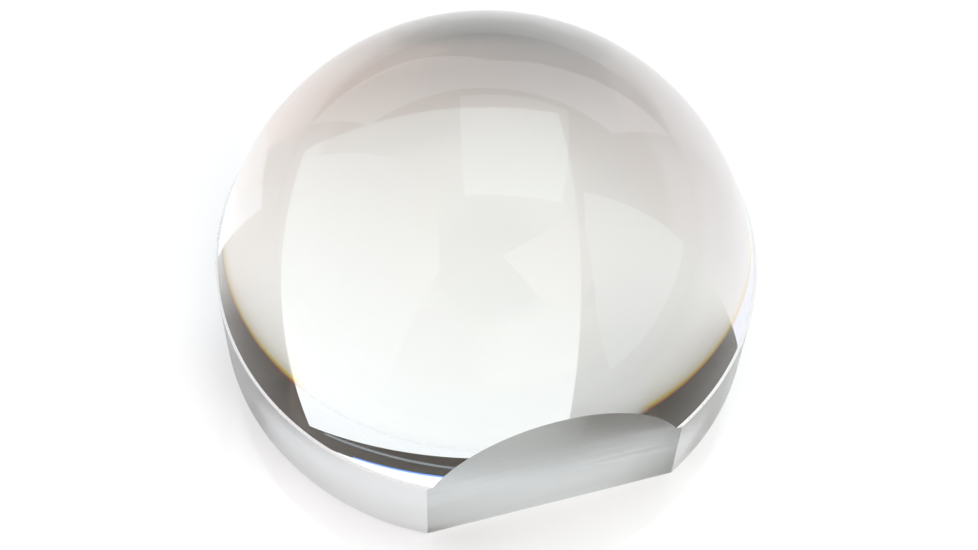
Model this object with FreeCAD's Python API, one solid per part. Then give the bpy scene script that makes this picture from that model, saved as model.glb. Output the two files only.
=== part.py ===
"""Solid optical glass dome: a polished near-hemisphere standing on a short ground rim.

One vertical flat is ground across the rim and the foot of the dome, so the plan outline is a D.
Millimetres, +Z up along the optical axis, origin where that axis meets the polished base face.
The ground flat faces -Y.
"""
import FreeCAD, Part
import math
import os

RIM_DIAMETER = 80.0       # ground cylinder, the diameter that a lens cell would grip
RIM_HEIGHT = 15.0         # base face to the foot of the dome's edge bevel
DOME_RADIUS = 40.5        # polished spherical surface
EDGE_BEVEL_WIDTH = 0.4    # bevel between rim and dome, across the radius
EDGE_BEVEL_RISE = 0.15    # the same bevel, along the axis
BASE_BEVEL = 0.5          # 45 degree bevel round the whole base face
FLAT_OFFSET = 35.5        # optical axis to the ground flat

RIM_RADIUS = RIM_DIAMETER / 2
DOME_EDGE_RADIUS = RIM_RADIUS - EDGE_BEVEL_WIDTH
DOME_EDGE_Z = RIM_HEIGHT + EDGE_BEVEL_RISE
DOME_CENTRE_Z = DOME_EDGE_Z - math.sqrt(DOME_RADIUS ** 2 - DOME_EDGE_RADIUS ** 2)
DOME_TOP_Z = DOME_CENTRE_Z + DOME_RADIUS

AXIS_UP = FreeCAD.Vector(0, 0, 1)
CENTRE = FreeCAD.Vector(0, 0, 0)
FULL_TURN = 360
PLANE_TOLERANCE = 1e-6


def in_section(radius, height):
    """Point of the half section that is turned about the optical axis."""
    return FreeCAD.Vector(radius, 0, height)


def on_dome(polar_angle):
    """Point of the half section on the polished sphere, at an angle from its top."""
    radius = DOME_RADIUS * math.sin(polar_angle)
    return in_section(radius, DOME_CENTRE_Z + DOME_RADIUS * math.cos(polar_angle))


def dome_half_section():
    """Closed face: axis, base, ground rim, edge bevel and the dome's arc."""
    edge_angle = math.acos((DOME_EDGE_Z - DOME_CENTRE_Z) / DOME_RADIUS)
    straight = [
        in_section(0, DOME_TOP_Z),
        in_section(0, 0),
        in_section(RIM_RADIUS, 0),
        in_section(RIM_RADIUS, RIM_HEIGHT),
        on_dome(edge_angle),
    ]
    edges = [Part.makeLine(start, end) for start, end in zip(straight, straight[1:])]
    arc = Part.Arc(on_dome(edge_angle), on_dome(edge_angle / 2), on_dome(0))
    edges.append(arc.toShape())
    return Part.Face(Part.Wire(edges))


def grind_flat(blank):
    """Take away the glass beyond the flat's plane."""
    cut_corner = FreeCAD.Vector(-RIM_RADIUS, -FLAT_OFFSET - RIM_DIAMETER, 0)
    beyond_flat = Part.makeBox(RIM_DIAMETER, RIM_DIAMETER, DOME_TOP_Z, cut_corner)
    return blank.cut(beyond_flat)


def bevel_base(body):
    """Bevel every edge of the base face, the foot of the flat included."""
    base_edges = [edge for edge in body.Edges if edge.BoundBox.ZMax < PLANE_TOLERANCE]
    return body.makeChamfer(BASE_BEVEL, base_edges)


def glass_dome():
    """The whole object: one piece of glass."""
    blank = dome_half_section().revolve(CENTRE, AXIS_UP, FULL_TURN)
    return bevel_base(grind_flat(blank))


os.makedirs("parts", exist_ok=True)
glass_dome().exportStep("parts/glass_dome.step")
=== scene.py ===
"""Looks for the solid glass dome: one smooth mesh in place of the CAD solid, its glass and the set."""
import math

import bmesh
import bpy
from mathutils import Matrix, Vector


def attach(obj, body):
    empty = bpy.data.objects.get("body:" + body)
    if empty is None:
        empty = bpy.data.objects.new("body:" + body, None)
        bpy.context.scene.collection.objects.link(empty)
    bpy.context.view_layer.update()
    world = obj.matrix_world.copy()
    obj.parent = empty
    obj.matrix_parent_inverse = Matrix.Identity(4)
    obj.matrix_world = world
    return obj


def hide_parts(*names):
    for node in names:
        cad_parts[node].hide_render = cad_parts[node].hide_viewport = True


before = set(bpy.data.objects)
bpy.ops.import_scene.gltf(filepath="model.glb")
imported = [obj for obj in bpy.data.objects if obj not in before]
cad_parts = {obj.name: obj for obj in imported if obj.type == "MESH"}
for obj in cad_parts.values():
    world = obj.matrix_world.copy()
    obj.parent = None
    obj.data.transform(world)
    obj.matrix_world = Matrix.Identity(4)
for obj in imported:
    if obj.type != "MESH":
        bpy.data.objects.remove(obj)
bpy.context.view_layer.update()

# ---- the glass, in metres: origin on the optical axis at the base face, +Z up, ground flat on -Y ----
RIM_RADIUS = 0.040
RIM_HEIGHT = 0.015
DOME_RADIUS = 0.0405
EDGE_BEVEL_WIDTH = 0.0004
EDGE_BEVEL_RISE = 0.00015
BASE_BEVEL = 0.0005
FLAT_OFFSET = 0.0355

DOME_EDGE_RADIUS = RIM_RADIUS - EDGE_BEVEL_WIDTH
DOME_EDGE_Z = RIM_HEIGHT + EDGE_BEVEL_RISE
DOME_CENTRE_Z = DOME_EDGE_Z - math.sqrt(DOME_RADIUS ** 2 - DOME_EDGE_RADIUS ** 2)
DOME_CENTRE = Vector((0, 0, DOME_CENTRE_Z))

TURN_STEPS = 480
DOME_STEPS = 150
CUT_TOLERANCE = 1e-7

# ---- material slots of the glass mesh ----
DOME, RIM, FLAT, BASE, EDGE_BEVEL, FOOT_BEVEL = range(6)

# ---- the set is turned about the axis from the row frame, so that its +Y runs away from the camera ----
SET_ANGLE = math.radians(-17.25)
SET_TURN = Matrix.Rotation(SET_ANGLE, 4, "Z")

# ---- crown glass: the index falls from blue to red ----
RED_IOR = 1.514
GREEN_IOR = 1.520
BLUE_IOR = 1.530
CLEAR = (1, 1, 1)

# ---- the fringe of colour lies this far to each side of a line a little left of the axis ----
FRINGE_SHIFT = 0.001
FRINGE_FROM = 0.0166
FRINGE_FULL = 0.0182
TRACE_OF_LIGHT = 0.001

# The shader tints light by the square root of its colour at each face, so the tint of one face is squared.
ONE_FACE_POWER = 2.0

# ---- noise: waves a metre, detail, how it is squeezed along each axis; spans are values of the noise ----
SMEARS = (55, 3, (1.0, 0.45, 0.7))
SMEAR_SPAN = (0.56, 0.80)
SMEAR_ROUGHNESS = 0.012
WHEEL_STREAKS = (30, 4, (1, 1, 40))
PITS = (3200, 2, (1, 1, 1))
STREAK_SHARE = 0.6
PIT_SHARE = 0.4
MOTTLE_SPAN = (0.3, 0.7)
SMOOTHEST = 0.8
ROUGHEST = 1.2
DARKEST = 0.93
GRAIN_DEPTH = 0.00003

# ---- ground faces: colour, roughness, share of clear glass, strength of the grain ----
RIM_FINISH = ((0.86, 0.85, 0.83), 0.58, 0.70, 0.35)
# The flat is the same ground glass as the rim, but its colour is painted much darker: that darkness is
# painted shade.
FLAT_FINISH_AND_SHADE = ((0.58, 0.585, 0.555), 0.60, 0.94, 0.35)
BEVEL_FINISH = ((0.93, 0.93, 0.92), 0.30, 0.25, 0.10)


def lathe_profile():
    """Half section from the base centre to the dome's top, with the region of each run that follows."""
    points = [
        (0.0, 0.0, BASE),
        (RIM_RADIUS - BASE_BEVEL, 0.0, FOOT_BEVEL),
        (RIM_RADIUS, BASE_BEVEL, RIM),
        (RIM_RADIUS, RIM_HEIGHT, EDGE_BEVEL),
    ]
    edge_angle = math.acos((DOME_EDGE_Z - DOME_CENTRE_Z) / DOME_RADIUS)
    for step in range(DOME_STEPS):
        angle = edge_angle * (1 - step / DOME_STEPS)
        height = DOME_CENTRE_Z + DOME_RADIUS * math.cos(angle)
        points.append((DOME_RADIUS * math.sin(angle), height, DOME))
    points.append((0.0, DOME_CENTRE_Z + DOME_RADIUS, DOME))
    return points


def turn_ring(mesh, radius, height):
    """One ring of vertices, or a single vertex on the axis."""
    if radius == 0:
        return [mesh.verts.new((0, 0, height))]
    ring = []
    for step in range(TURN_STEPS):
        turn = 2 * math.pi * step / TURN_STEPS
        ring.append(mesh.verts.new((radius * math.cos(turn), radius * math.sin(turn), height)))
    return ring


def bridge(mesh, lower, upper, region):
    """Faces between two rings, either of which may be a single vertex."""
    for step in range(TURN_STEPS):
        following = (step + 1) % TURN_STEPS
        if len(lower) == 1:
            corners = [lower[0], upper[following], upper[step]]
        elif len(upper) == 1:
            corners = [lower[step], lower[following], upper[0]]
        else:
            corners = [lower[step], lower[following], upper[following], upper[step]]
        mesh.faces.new(corners).material_index = region


def grind(mesh, point, normal, region):
    """Cut the blank with a plane and close the cut with one face."""
    everything = mesh.verts[:] + mesh.edges[:] + mesh.faces[:]
    cut = bmesh.ops.bisect_plane(
        mesh, geom=everything, dist=CUT_TOLERANCE, plane_co=point, plane_no=normal, clear_outer=True
    )
    rim_edges = [item for item in cut["geom_cut"] if isinstance(item, bmesh.types.BMEdge)]
    filled = bmesh.ops.contextual_create(mesh, geom=rim_edges)
    for face in filled["faces"]:
        face.material_index = region
        face.normal_update()
        if face.normal.dot(Vector(normal)) < 0:
            face.normal_flip()


def true_normal(region, place):
    """The exact surface normal of a region, so that the glass bends light as a turned surface does."""
    outward = Vector((place.x, place.y, 0))
    if region == DOME:
        return (place - DOME_CENTRE).normalized()
    if region == RIM:
        return outward.normalized()
    if region == EDGE_BEVEL:
        return (outward.normalized() * EDGE_BEVEL_RISE + Vector((0, 0, EDGE_BEVEL_WIDTH))).normalized()
    return None


def glass_mesh():
    """The whole block as one closed mesh with exact normals."""
    solid = bmesh.new()
    profile = lathe_profile()
    rings = [turn_ring(solid, radius, height) for radius, height, region in profile]
    for lower, upper, (radius, height, region) in zip(rings, rings[1:], profile):
        bridge(solid, lower, upper, region)
    grind(solid, (0, -FLAT_OFFSET, 0), (0, -1, 0), FLAT)
    grind(solid, (0, -FLAT_OFFSET, BASE_BEVEL), (0, -1, -1), FOOT_BEVEL)
    bmesh.ops.triangulate(solid, faces=[face for face in solid.faces if len(face.verts) > 4])
    mesh = bpy.data.meshes.new("glass_block")
    solid.to_mesh(mesh)
    solid.free()
    normals = []
    for face in mesh.polygons:
        face.use_smooth = True
        for loop in face.loop_indices:
            place = mesh.vertices[mesh.loops[loop].vertex_index].co
            normals.append(true_normal(face.material_index, place) or face.normal.copy())
    mesh.normals_split_custom_set(normals)
    return mesh


# ---- small helpers for node trees ----
def set_input(tree, socket, value):
    """Link a socket when the value is another socket, and store the value otherwise."""
    if isinstance(value, bpy.types.NodeSocket):
        tree.links.new(value, socket)
    else:
        socket.default_value = value


def calc(tree, operation, first, second=0.0):
    """One Math node and its result."""
    node = tree.nodes.new("ShaderNodeMath")
    node.operation = operation
    set_input(tree, node.inputs[0], first)
    set_input(tree, node.inputs[1], second)
    return node.outputs[0]


def smooth(tree, value, low, high, start=0.0, stop=1.0):
    """A smooth step of the value from start at low to stop at high."""
    node = tree.nodes.new("ShaderNodeMapRange")
    node.interpolation_type = "SMOOTHSTEP"
    set_input(tree, node.inputs["Value"], value)
    node.inputs["From Min"].default_value = low
    node.inputs["From Max"].default_value = high
    node.inputs["To Min"].default_value = start
    node.inputs["To Max"].default_value = stop
    return node.outputs["Result"]


def blend_colour(tree, factor, first, second):
    """Mix of two colours, each a tuple or a socket."""
    node = tree.nodes.new("ShaderNodeMix")
    node.data_type = "RGBA"
    set_input(tree, node.inputs[0], factor)
    set_input(tree, node.inputs[6], first)
    set_input(tree, node.inputs[7], second)
    return node.outputs[2]


def set_axes(tree, source):
    """A texture coordinate's X, Y and Z along the axes of the set."""
    place = tree.nodes.new("ShaderNodeTexCoord")
    turn = tree.nodes.new("ShaderNodeVectorRotate")
    turn.rotation_type = "Z_AXIS"
    turn.inputs["Angle"].default_value = -SET_ANGLE
    split = tree.nodes.new("ShaderNodeSeparateXYZ")
    tree.links.new(place.outputs[source], turn.inputs["Vector"])
    tree.links.new(turn.outputs[0], split.inputs[0])
    return split.outputs


# ---- materials ----
def glass_shader(name, colour, roughness):
    """A transmissive Principled material and its node tree."""
    material = bpy.data.materials.new(name)
    material.use_nodes = True
    shader = material.node_tree.nodes["Principled BSDF"]
    shader.inputs["Base Color"].default_value = (*colour, 1)
    shader.inputs["Transmission Weight"].default_value = 1.0
    shader.inputs["IOR"].default_value = RED_IOR
    shader.inputs["Roughness"].default_value = roughness
    return material, shader


def passed_light(tree, index):
    """The share of light that a glass face with this index lets through."""
    fresnel = tree.nodes.new("ShaderNodeFresnel")
    fresnel.inputs["IOR"].default_value = index
    return calc(tree, "SUBTRACT", 1.0, fresnel.outputs[0])


def colour_fringe(tree):
    """Green and blue reach total reflection before red does, which leaves an orange fringe at its edge.

    Under the softbox over the glass, what is reflected is as bright as what is let through, so the fringe
    is kept to the two sides of the base.
    """
    shifted = calc(tree, "ADD", set_axes(tree, "Object")["X"], FRINGE_SHIFT)
    sideways = smooth(tree, calc(tree, "ABSOLUTE", shifted), FRINGE_FROM, FRINGE_FULL)
    red = calc(tree, "ADD", passed_light(tree, RED_IOR), TRACE_OF_LIGHT)
    channels = tree.nodes.new("ShaderNodeCombineColor")
    channels.inputs["Red"].default_value = 1.0
    for name, index in (("Green", GREEN_IOR), ("Blue", BLUE_IOR)):
        share = calc(tree, "DIVIDE", calc(tree, "ADD", passed_light(tree, index), TRACE_OF_LIGHT), red)
        share = calc(tree, "MINIMUM", calc(tree, "POWER", share, ONE_FACE_POWER), 1.0)
        tree.links.new(share, channels.inputs[name])
    return blend_colour(tree, sideways, (*CLEAR, 1), channels.outputs[0])


def noise(tree, scale, detail, stretch):
    """Noise in object space, with so many waves a metre along each axis as scale times stretch."""
    place = tree.nodes.new("ShaderNodeTexCoord")
    mapping = tree.nodes.new("ShaderNodeMapping")
    mapping.inputs["Scale"].default_value = stretch
    pattern = tree.nodes.new("ShaderNodeTexNoise")
    pattern.inputs["Scale"].default_value = scale
    pattern.inputs["Detail"].default_value = detail
    tree.links.new(place.outputs["Object"], mapping.inputs["Vector"])
    tree.links.new(mapping.outputs[0], pattern.inputs["Vector"])
    return pattern.outputs["Fac"]


def polished_glass(name):
    """Clear polished glass with a few faint smears from handling."""
    material, shader = glass_shader(name, CLEAR, 0.0)
    tree = material.node_tree
    smears = smooth(tree, noise(tree, *SMEARS), *SMEAR_SPAN, 0.0, SMEAR_ROUGHNESS)
    tree.links.new(smears, shader.inputs["Roughness"])
    return material


def fringed_glass(name):
    """Polished glass whose total reflection starts with a fringe of colour."""
    material, shader = glass_shader(name, CLEAR, 0.0)
    tree = material.node_tree
    tree.links.new(colour_fringe(tree), shader.inputs["Base Color"])
    return material


def ground_glass(name, colour, roughness, clearness, grain):
    """Finely ground glass: a frosted, slightly milky skin with grain and faint streaks from the wheel."""
    material, shader = glass_shader(name, colour, roughness)
    shader.inputs["Transmission Weight"].default_value = clearness
    tree = material.node_tree
    streaks = calc(tree, "MULTIPLY", noise(tree, *WHEEL_STREAKS), STREAK_SHARE)
    pits = noise(tree, *PITS)
    mottle = calc(tree, "ADD", streaks, calc(tree, "MULTIPLY", pits, PIT_SHARE))
    matt = smooth(tree, mottle, *MOTTLE_SPAN, roughness * SMOOTHEST, roughness * ROUGHEST)
    tree.links.new(matt, shader.inputs["Roughness"])
    dark = [DARKEST * channel for channel in colour]
    tint = blend_colour(tree, smooth(tree, mottle, *MOTTLE_SPAN), (*dark, 1), (*colour, 1))
    tree.links.new(tint, shader.inputs["Base Color"])
    bump = tree.nodes.new("ShaderNodeBump")
    bump.inputs["Strength"].default_value = grain
    bump.inputs["Distance"].default_value = GRAIN_DEPTH
    tree.links.new(pits, bump.inputs["Height"])
    tree.links.new(bump.outputs[0], shader.inputs["Normal"])
    return material


def add_glass():
    """The glass block, one material for each region, riding on the root body."""
    block = bpy.data.objects.new("glass_block", glass_mesh())
    bpy.context.scene.collection.objects.link(block)
    polished = polished_glass("polished_glass")
    base = fringed_glass("polished_base")
    rim = ground_glass("ground_rim", *RIM_FINISH)
    # The flat's colour is darker than the rim's: painted shade.
    flat = ground_glass("ground_flat", *FLAT_FINISH_AND_SHADE)
    bevel = ground_glass("fine_bevel", *BEVEL_FINISH)
    for material in (polished, rim, flat, base, bevel, bevel):
        block.data.materials.append(material)
    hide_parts("glass_dome")
    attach(block, "root")


# ---- the set: softboxes hang round the glass in a pale tent that is open at the camera and dark behind ----
AIR_GAP = 0.0001
FLOOR_HALF = 3.0
TABLE_COLOUR = (0.9, 0.9, 0.9)
TABLE_ROUGHNESS = 0.03
TABLE_GLOSS = 0.5

# ---- the fill over the table ----
FILL_SIZE = 2.4
FILL_HEIGHT = 0.9
FILL_RADIANCE = 1.10

# ---- the tilted softbox over the glass ----
WINDOW_CENTRE = (0.150, 0.385, 0.783)
WINDOW_TILT = 0.312
WINDOW_TURN = 0.041
WINDOW_SIZE = (0.610, 0.748)
OVER_NEAR = (2.07, 2.30, 2.25)
OVER_FAR = (0.92, 0.96, 0.98)

# ---- the other softboxes: corners as Y and Z at the sides, X and Y under the ceiling, X and Z behind ----
LEFT_WALL_X = -0.6
LEFT_CORNERS = ((-0.875, 0.10), (0.36, 0.10), (0.385, 1.79), (-0.875, 1.62))
LEFT_LOW = (0.84, 0.89, 1.03)
LEFT_HIGH = (1.14, 0.95, 0.80)

RIGHT_WALL_X = 0.9
RIGHT_CORNERS = (
    (0.158, 0.12), (0.25, 1.23), (-0.137, 1.135), (-0.43, 0.88), (-0.66, 0.625), (-0.78, 0.38), (-0.80, 0.12)
)
RIGHT_LIGHT = (1.45, 1.62, 1.69)

CEILING_Z = 1.3
CEILING_CORNERS = ((0.156, -0.533), (0.78, -0.104), (1.43, -0.156), (1.43, -1.3), (0.715, -1.105))
CEILING_LIGHT = (1.12, 0.82, 0.72)

BACK_WALL_Y = 1.16
BACK_CORNERS = (
    (-1.2, 0.0), (-0.47, 0.21), (-0.33, 0.27), (0.0, 0.46), (0.38, 0.36), (0.62, 0.26), (1.2, 0.0),
    (1.2, 0.91), (-1.2, 0.91)
)
BACK_LOW = (0.80, 0.78, 0.76)
BACK_HIGH = (1.10, 1.15, 1.20)
BACK_EDGE_CORNERS = ((0.0, 0.91), (0.45, 0.91), (0.45, 0.919), (0.0, 0.919))
BACK_EDGE_LIGHT = (0.15, 0.45, 1.30)
STRIP_CORNERS = ((0.0, 0.962), (0.6, 1.0), (0.6, 1.016), (0.0, 0.976))
STRIP_LIGHT = (0.20, 0.23, 0.25)

# ---- the tent: radiances, and where each begins and ends ----
# Across and ahead are a direction's X and Y in the set over its Z. Rise is its Z, and away is its Y.
TENT_OVER = (1.34, 1.28, 1.23, 1)
TENT_LEFT = (0.81, 0.87, 0.79, 1)
LEFT_ACROSS = (0.1, -0.7)
TENT_RIGHT = (0.40, 0.37, 0.33, 1)
RIGHT_ACROSS = (0.3, 0.9)
TENT_NEAR_LEFT = (0.49, 0.38, 0.40, 1)
TENT_NEAR_RIGHT = (0.99, 1.00, 0.90, 1)
NEAR_AHEAD = (-0.85, -1.05)
NEAR_ACROSS = (-0.4, 0.4)

OPENING = (0.0, 0.0, 0.0, 1)
OPENING_CENTRE = (0.056, -0.579)
OPENING_RADII = (0.493, 0.437)
OPENING_EDGE = (1.68, 0.78)

BEHIND = (0.02, 0.01, 0.0, 1)
BEHIND_AHEAD = (0.33, 0.71)
BEHIND_RISE = (0.14, 0.21)

COVE_SIDES = (0.67, 0.72, 0.77, 1)
COVE_BEHIND = (0.0, 0.0, 0.0, 1)
COVE_RISE = (0.28, 0.17)
COVE_AWAY = (0.55, 0.80)
LEAST_RISE = 0.02

# ---- the camera looks at the top of the rim ----
SENSOR_WIDTH = 36.0
LENS = 67.75
SHIFT_X = 0.0023
SHIFT_Y = -0.0267
CAMERA_ELEVATION = math.radians(57.43)
CAMERA_DISTANCE = 0.2726
CAMERA_ROLL = math.radians(1.95)
CLIP_START = 0.01


def in_set(x, y, z):
    """A point of the set, whose +Y runs away from the camera, in the row frame."""
    return SET_TURN @ Vector((x, y, z))


def radiance_change(tree, radiance, end_radiance, along):
    """A radiance that changes smoothly from one end of a panel to the other."""
    place = tree.nodes.new("ShaderNodeTexCoord")
    split = tree.nodes.new("ShaderNodeSeparateXYZ")
    tree.links.new(place.outputs["Generated"], split.inputs[0])
    share = smooth(tree, split.outputs[along], 0, 1)
    return blend_colour(tree, share, (*radiance, 1), (*end_radiance, 1))


def panel(name, corners, radiance, end_radiance=None, along="Y"):
    """A softbox from its corners in the set; a second radiance makes it change along an axis."""
    mesh = bpy.data.meshes.new(name)
    mesh.from_pydata([Vector(corner) for corner in corners], [], [tuple(range(len(corners)))])
    box = bpy.data.objects.new(name, mesh)
    bpy.context.scene.collection.objects.link(box)
    box.rotation_euler = (0, 0, SET_ANGLE)
    material = bpy.data.materials.new(name)
    material.use_nodes = True
    tree = material.node_tree
    tree.nodes.clear()
    glow = tree.nodes.new("ShaderNodeEmission")
    out = tree.nodes.new("ShaderNodeOutputMaterial")
    colour = radiance_change(tree, radiance, end_radiance, along) if end_radiance else (*radiance, 1)
    set_input(tree, glow.inputs["Color"], colour)
    tree.links.new(glow.outputs[0], out.inputs["Surface"])
    mesh.materials.append(material)
    box.visible_camera = False


def window_corners():
    """The four corners of the tilted softbox over the glass, in the set."""
    width, depth = WINDOW_SIZE
    turn = Matrix.Rotation(WINDOW_TURN, 4, "Z")
    tilt = Matrix.Rotation(-WINDOW_TILT, 4, "X")
    corners = []
    for side, end in ((-1, -1), (1, -1), (1, 1), (-1, 1)):
        corner = turn @ tilt @ Vector((side * width / 2, end * depth / 2, 0))
        corners.append(Vector(WINDOW_CENTRE) + corner)
    return corners


def add_softboxes():
    """The lit panels, each standing on one wall of the set or hung under its ceiling."""
    panel("softbox_over", window_corners(), OVER_NEAR, OVER_FAR)
    left = [(LEFT_WALL_X, y, z) for y, z in LEFT_CORNERS]
    panel("softbox_left", left, LEFT_LOW, LEFT_HIGH, along="Z")
    right = [(RIGHT_WALL_X, y, z) for y, z in RIGHT_CORNERS]
    panel("softbox_right", right, RIGHT_LIGHT)
    ceiling = [(x, y, CEILING_Z) for x, y in CEILING_CORNERS]
    panel("softbox_ceiling", ceiling, CEILING_LIGHT)
    back = [(x, BACK_WALL_Y, z) for x, z in BACK_CORNERS]
    panel("softbox_back", back, BACK_LOW, BACK_HIGH, along="Z")
    edge = [(x, BACK_WALL_Y, z) for x, z in BACK_EDGE_CORNERS]
    panel("softbox_back_edge", edge, BACK_EDGE_LIGHT)
    strip = [(x, BACK_WALL_Y, z) for x, z in STRIP_CORNERS]
    panel("strip_light", strip, STRIP_LIGHT)


def add_fill():
    """A soft overhead fill for the table round the glass, kept out of reflections and refractions."""
    data = bpy.data.lights.new("fill", "AREA")
    data.shape = "DISK"
    data.size = FILL_SIZE
    data.energy = FILL_RADIANCE * math.pi * math.pi * (FILL_SIZE / 2) ** 2
    lamp = bpy.data.objects.new("fill", data)
    bpy.context.scene.collection.objects.link(lamp)
    lamp.location = in_set(0, 0, FILL_HEIGHT)
    lamp.visible_camera = False
    lamp.visible_glossy = False
    lamp.visible_transmission = False


def table_material():
    """A pale, slightly glossy table top."""
    material = bpy.data.materials.new("table")
    material.use_nodes = True
    shader = material.node_tree.nodes["Principled BSDF"]
    shader.inputs["Base Color"].default_value = (*TABLE_COLOUR, 1)
    shader.inputs["Roughness"].default_value = TABLE_ROUGHNESS
    shader.inputs["Specular IOR Level"].default_value = TABLE_GLOSS
    return material


def add_floor():
    """A square table top, an air gap below the glass."""
    mesh = bpy.data.meshes.new("floor")
    sides = ((-1, -1), (1, -1), (1, 1), (-1, 1))
    corners = [(x * FLOOR_HALF, y * FLOOR_HALF, -AIR_GAP) for x, y in sides]
    mesh.from_pydata(corners, [], [(0, 1, 2, 3)])
    floor = bpy.data.objects.new("floor", mesh)
    bpy.context.scene.collection.objects.link(floor)
    mesh.materials.append(table_material())


def opening_share(tree, across, ahead):
    """How far a direction lies inside the oval opening at the camera."""
    offsets = []
    for value, centre, radius in zip((across, ahead), OPENING_CENTRE, OPENING_RADII):
        offset = calc(tree, "DIVIDE", calc(tree, "SUBTRACT", value, centre), radius)
        offsets.append(calc(tree, "MULTIPLY", offset, offset))
    return smooth(tree, calc(tree, "SQRT", calc(tree, "ADD", *offsets)), *OPENING_EDGE)


def add_world():
    """A pale tent, open at the camera and dark behind the glass, as radiances blended by direction."""
    world = bpy.data.worlds.new("tent")
    bpy.context.scene.world = world
    world.use_nodes = True
    tree = world.node_tree
    way = set_axes(tree, "Generated")
    rise = way["Z"]
    away = way["Y"]
    steep = calc(tree, "MAXIMUM", rise, LEAST_RISE)
    across = calc(tree, "DIVIDE", way["X"], steep)
    ahead = calc(tree, "DIVIDE", away, steep)

    near = blend_colour(tree, smooth(tree, across, *NEAR_ACROSS), TENT_NEAR_LEFT, TENT_NEAR_RIGHT)
    cove = blend_colour(tree, smooth(tree, away, *COVE_AWAY), COVE_SIDES, COVE_BEHIND)
    beyond = calc(tree, "MULTIPLY", smooth(tree, ahead, *BEHIND_AHEAD), smooth(tree, rise, *BEHIND_RISE))

    light = blend_colour(tree, smooth(tree, across, *LEFT_ACROSS), TENT_OVER, TENT_LEFT)
    light = blend_colour(tree, smooth(tree, across, *RIGHT_ACROSS), light, TENT_RIGHT)
    light = blend_colour(tree, smooth(tree, ahead, *NEAR_AHEAD), light, near)
    light = blend_colour(tree, opening_share(tree, across, ahead), light, OPENING)
    light = blend_colour(tree, beyond, light, BEHIND)
    light = blend_colour(tree, smooth(tree, rise, *COVE_RISE), light, cove)
    tree.links.new(light, tree.nodes["Background"].inputs["Color"])


def add_camera():
    """A camera at the set's -Y side, looking down at the rim's top."""
    data = bpy.data.cameras.new("camera")
    data.sensor_width = SENSOR_WIDTH
    data.lens = LENS
    data.shift_x = SHIFT_X
    data.shift_y = SHIFT_Y
    data.clip_start = CLIP_START
    camera = bpy.data.objects.new("camera", data)
    bpy.context.scene.collection.objects.link(camera)
    back = in_set(0, -math.cos(CAMERA_ELEVATION), math.sin(CAMERA_ELEVATION))
    camera.location = Vector((0, 0, RIM_HEIGHT)) + back * CAMERA_DISTANCE
    camera.rotation_mode = "QUATERNION"
    roll = Matrix.Rotation(CAMERA_ROLL, 3, "Z").to_quaternion()
    camera.rotation_quaternion = (-back).to_track_quat("-Z", "Y") @ roll
    bpy.context.scene.camera = camera


add_glass()
add_floor()
add_softboxes()
add_fill()
add_world()
add_camera()
bpy.context.scene.view_settings.view_transform = "Standard"

# Cycles would otherwise blur the glass for light on its way to the table, and darken the table under it.
bpy.context.scene.cycles.blur_glossy = 0.0
